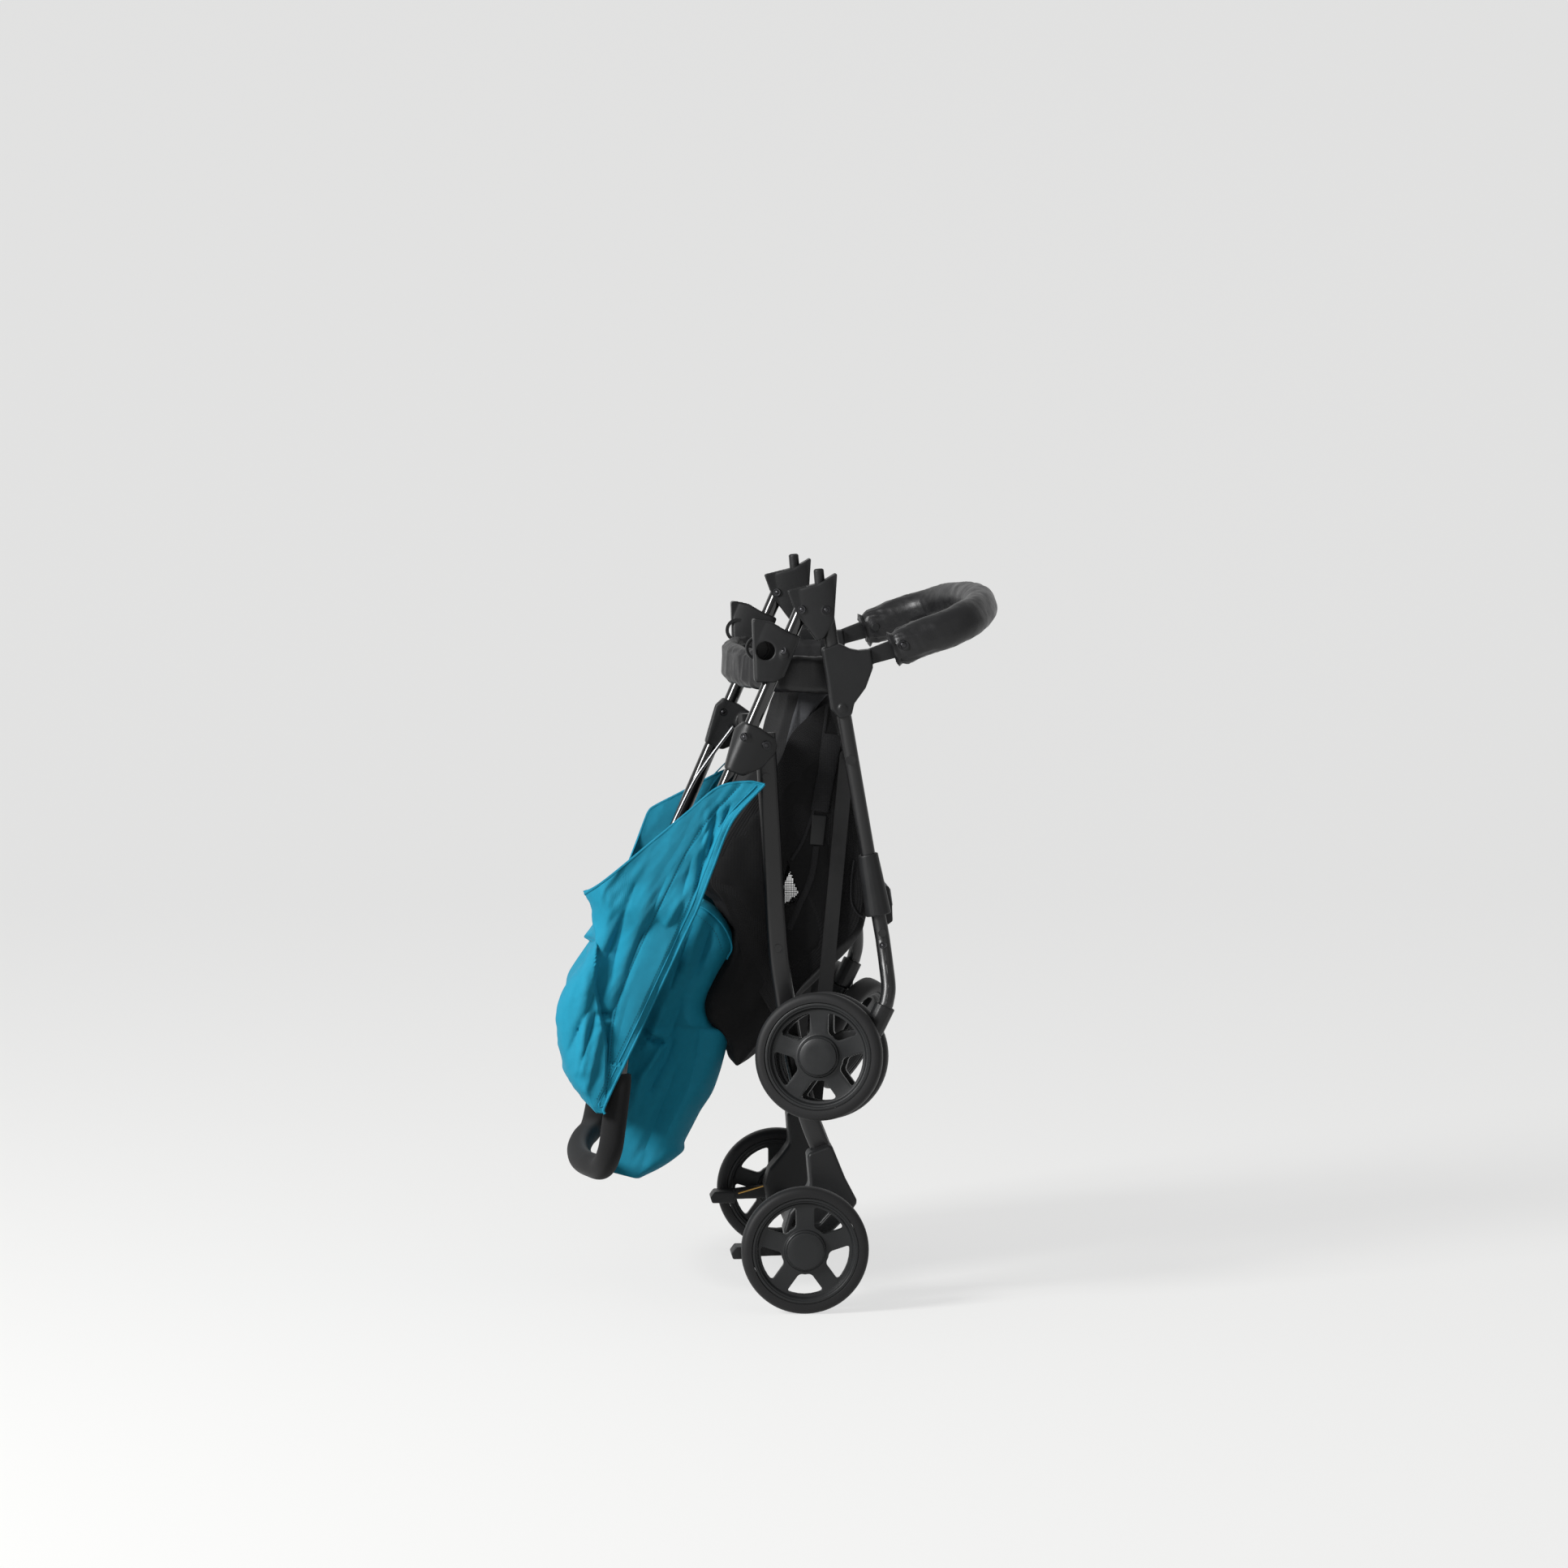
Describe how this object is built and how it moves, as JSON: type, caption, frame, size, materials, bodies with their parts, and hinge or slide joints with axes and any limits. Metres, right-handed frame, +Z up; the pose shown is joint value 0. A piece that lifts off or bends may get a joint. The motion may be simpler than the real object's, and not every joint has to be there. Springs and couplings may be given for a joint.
{
  "type": "folding stroller",
  "caption": "Compact folding stroller stored upright and folded: tube frame with caster wheels, rear brake wheels, foam push handle, bumper bar, cloth seat and canopy.",
  "frame": {"origin": "middle of the box's underside, on the floor below the folded stroller", "axes": "+Z up, +X towards the front of the stroller, +Y towards its left side"},
  "size_m": [0.4962, 0.5742, 0.8143],
  "materials": {
    "gloss_tube": "gloss black paint",
    "satin_tube": "satin black paint",
    "moulding": "fine grained black",
    "foam": "matte closed-cell foam",
    "tyre": "smooth",
    "teal_cloth": "plain weave",
    "black_cloth": "plain weave with padding",
    "vinyl": "grained soft cover",
    "steel": "drawn wire",
    "spring_steel": "yellow passivated wire",
    "grey_tread": "translucent grey"
  },
  "bodies": {
    "front_frame": {"rear_hoop": "vinyl", "footrest_bar": "satin_tube", "footrest_tread": "grey_tread", "seat_fabric": "black_cloth", "front_leg_right": "satin_tube", "hinge_cup_right": "moulding", "lock_pin_right": "moulding", "bumper_bracket_right": "moulding", "footrest_sleeve_right": "moulding", "caster_socket_right": "moulding", "front_leg_left": "satin_tube", "hinge_cup_left": "moulding", "lock_pin_left": "moulding", "bumper_bracket_left": "moulding", "footrest_sleeve_left": "moulding", "caster_socket_left": "moulding"},
    "handle_frame": {"handle_bar": "gloss_tube", "foam_grip": "foam", "canopy": "teal_cloth", "canopy_flap": "teal_cloth", "handle_tube_right": "gloss_tube", "pivot_bracket_right": "moulding", "handle_tube_left": "gloss_tube", "pivot_bracket_left": "moulding"},
    "rear_frame": {"rear_axle": "satin_tube", "rear_leg_right": "satin_tube", "rear_foot_right": "moulding", "rear_leg_left": "satin_tube", "rear_foot_left": "moulding"},
    "side_links": {"side_link_right": "satin_tube", "side_link_left": "satin_tube"},
    "canopy_bow": {"canopy_bow": "steel"},
    "bumper_bar": {"bumper_bar": "vinyl"},
    "lock_collar_right": {"lock_collar_right": "moulding"},
    "brake_lever_right": {"brake_lever_right": "moulding", "brake_spring_right": "spring_steel"},
    "caster_right": {"caster_fork_right": "moulding"},
    "rear_wheel_right": {"rear_tyre_right": "tyre", "rear_rim_right": "moulding", "rear_hub_cap_right": "moulding"},
    "front_outer_wheel_right": {"front_outer_tyre_right": "tyre", "front_outer_rim_right": "moulding", "front_hub_cap_right": "moulding"},
    "front_inner_wheel_right": {"front_inner_tyre_right": "tyre", "front_inner_rim_right": "moulding"},
    "lock_collar_left": {"lock_collar_left": "moulding"},
    "brake_lever_left": {"brake_lever_left": "moulding", "brake_spring_left": "spring_steel"},
    "caster_left": {"caster_fork_left": "moulding"},
    "rear_wheel_left": {"rear_tyre_left": "tyre", "rear_rim_left": "moulding", "rear_hub_cap_left": "moulding"},
    "front_outer_wheel_left": {"front_outer_tyre_left": "tyre", "front_outer_rim_left": "moulding", "front_hub_cap_left": "moulding"},
    "front_inner_wheel_left": {"front_inner_tyre_left": "tyre", "front_inner_rim_left": "moulding"}
  },
  "joints": [
    {"name": "handle_fold", "type": "hinge", "parent": "front_frame", "child": "handle_frame", "pos_m": [0.01965, -0.0355, 0.7691], "axis": [0, 1, 0], "range_deg": [0, 141.4], "deforming": ["seat_fabric"]},
    {"name": "rear_leg_fold", "type": "hinge", "parent": "handle_frame", "child": "rear_frame", "pos_m": [-0.01805, -0.0355, 0.6208], "axis": [0, 1, 0], "range_deg": [-90.7, 0]},
    {"name": "side_link_fold", "type": "hinge", "parent": "front_frame", "child": "side_links", "pos_m": [0.07355, -0.0355, 0.605], "axis": [0, 1, 0], "range_deg": [0, 83.4]},
    {"name": "canopy_bow_turn", "type": "hinge", "parent": "handle_frame", "child": "canopy_bow", "pos_m": [-0.03305, -0.0355, 0.6143], "axis": [0, 1, 0], "range_deg": [0, 100], "deforming": ["canopy", "canopy_flap"]},
    {"name": "bumper_tilt", "type": "hinge", "parent": "front_frame", "child": "bumper_bar", "pos_m": [0.13215, -0.0355, 0.7298], "axis": [0, 1, 0], "range_deg": [-15, 45]},
    {"name": "collar_slide_right", "type": "slide", "parent": "handle_frame", "child": "lock_collar_right", "axis": [-0.3971, 0, -0.9178], "range_m": [0, 0.01], "stiffness_N_per_m": 600},
    {"name": "brake_press_right", "type": "hinge", "parent": "rear_frame", "child": "brake_lever_right", "pos_m": [0.02115, -0.2255, 0.07], "axis": [0, -1, 0], "range_deg": [0, 15], "stiffness_Nm_per_rad": 2},
    {"name": "caster_swivel_right", "type": "hinge", "parent": "front_frame", "child": "caster_right", "pos_m": [0.09805, -0.2475, 0.3135], "axis": [0.4415, 0, 0.8973], "range_deg": [0, 250]},
    {"name": "rear_wheel_spin_right", "type": "hinge", "parent": "rear_frame", "child": "rear_wheel_right", "pos_m": [0.02115, -0.2555, 0.07], "axis": [0, 1, 0], "continuous": true},
    {"name": "front_outer_wheel_spin_right", "type": "hinge", "parent": "caster_right", "child": "front_outer_wheel_right", "pos_m": [0.03613, -0.26062, 0.28378], "axis": [0.2171, 0.9703, -0.1068], "continuous": true},
    {"name": "front_inner_wheel_spin_right", "type": "hinge", "parent": "caster_right", "child": "front_inner_wheel_right", "pos_m": [0.04612, -0.21599, 0.27887], "axis": [0.2171, 0.9703, -0.1068], "continuous": true},
    {"name": "collar_slide_left", "type": "slide", "parent": "handle_frame", "child": "lock_collar_left", "axis": [-0.3971, 0, -0.9178], "range_m": [0, 0.01], "stiffness_N_per_m": 600},
    {"name": "brake_press_left", "type": "hinge", "parent": "rear_frame", "child": "brake_lever_left", "pos_m": [0.02115, 0.1545, 0.07], "axis": [0, -1, 0], "range_deg": [0, 15], "stiffness_Nm_per_rad": 2},
    {"name": "caster_swivel_left", "type": "hinge", "parent": "front_frame", "child": "caster_left", "pos_m": [0.09805, 0.1765, 0.3135], "axis": [0.4415, 0, 0.8973], "range_deg": [-122, 122]},
    {"name": "rear_wheel_spin_left", "type": "hinge", "parent": "rear_frame", "child": "rear_wheel_left", "pos_m": [0.02115, 0.1845, 0.07], "axis": [0, 1, 0], "continuous": true},
    {"name": "front_outer_wheel_spin_left", "type": "hinge", "parent": "caster_left", "child": "front_outer_wheel_left", "pos_m": [0.10732, 0.20122, 0.24875], "axis": [0.8132, -0.4226, -0.4001], "continuous": true},
    {"name": "front_inner_wheel_spin_left", "type": "hinge", "parent": "caster_left", "child": "front_inner_wheel_left", "pos_m": [0.06991, 0.22066, 0.26716], "axis": [0.8132, -0.4226, -0.4001], "continuous": true}
  ],
  "couplings": [
    {"joint": "rear_leg_fold", "follows": "handle_fold", "ratio": -0.64092},
    {"joint": "side_link_fold", "follows": "handle_fold", "ratio": 0.58907}
  ]
}
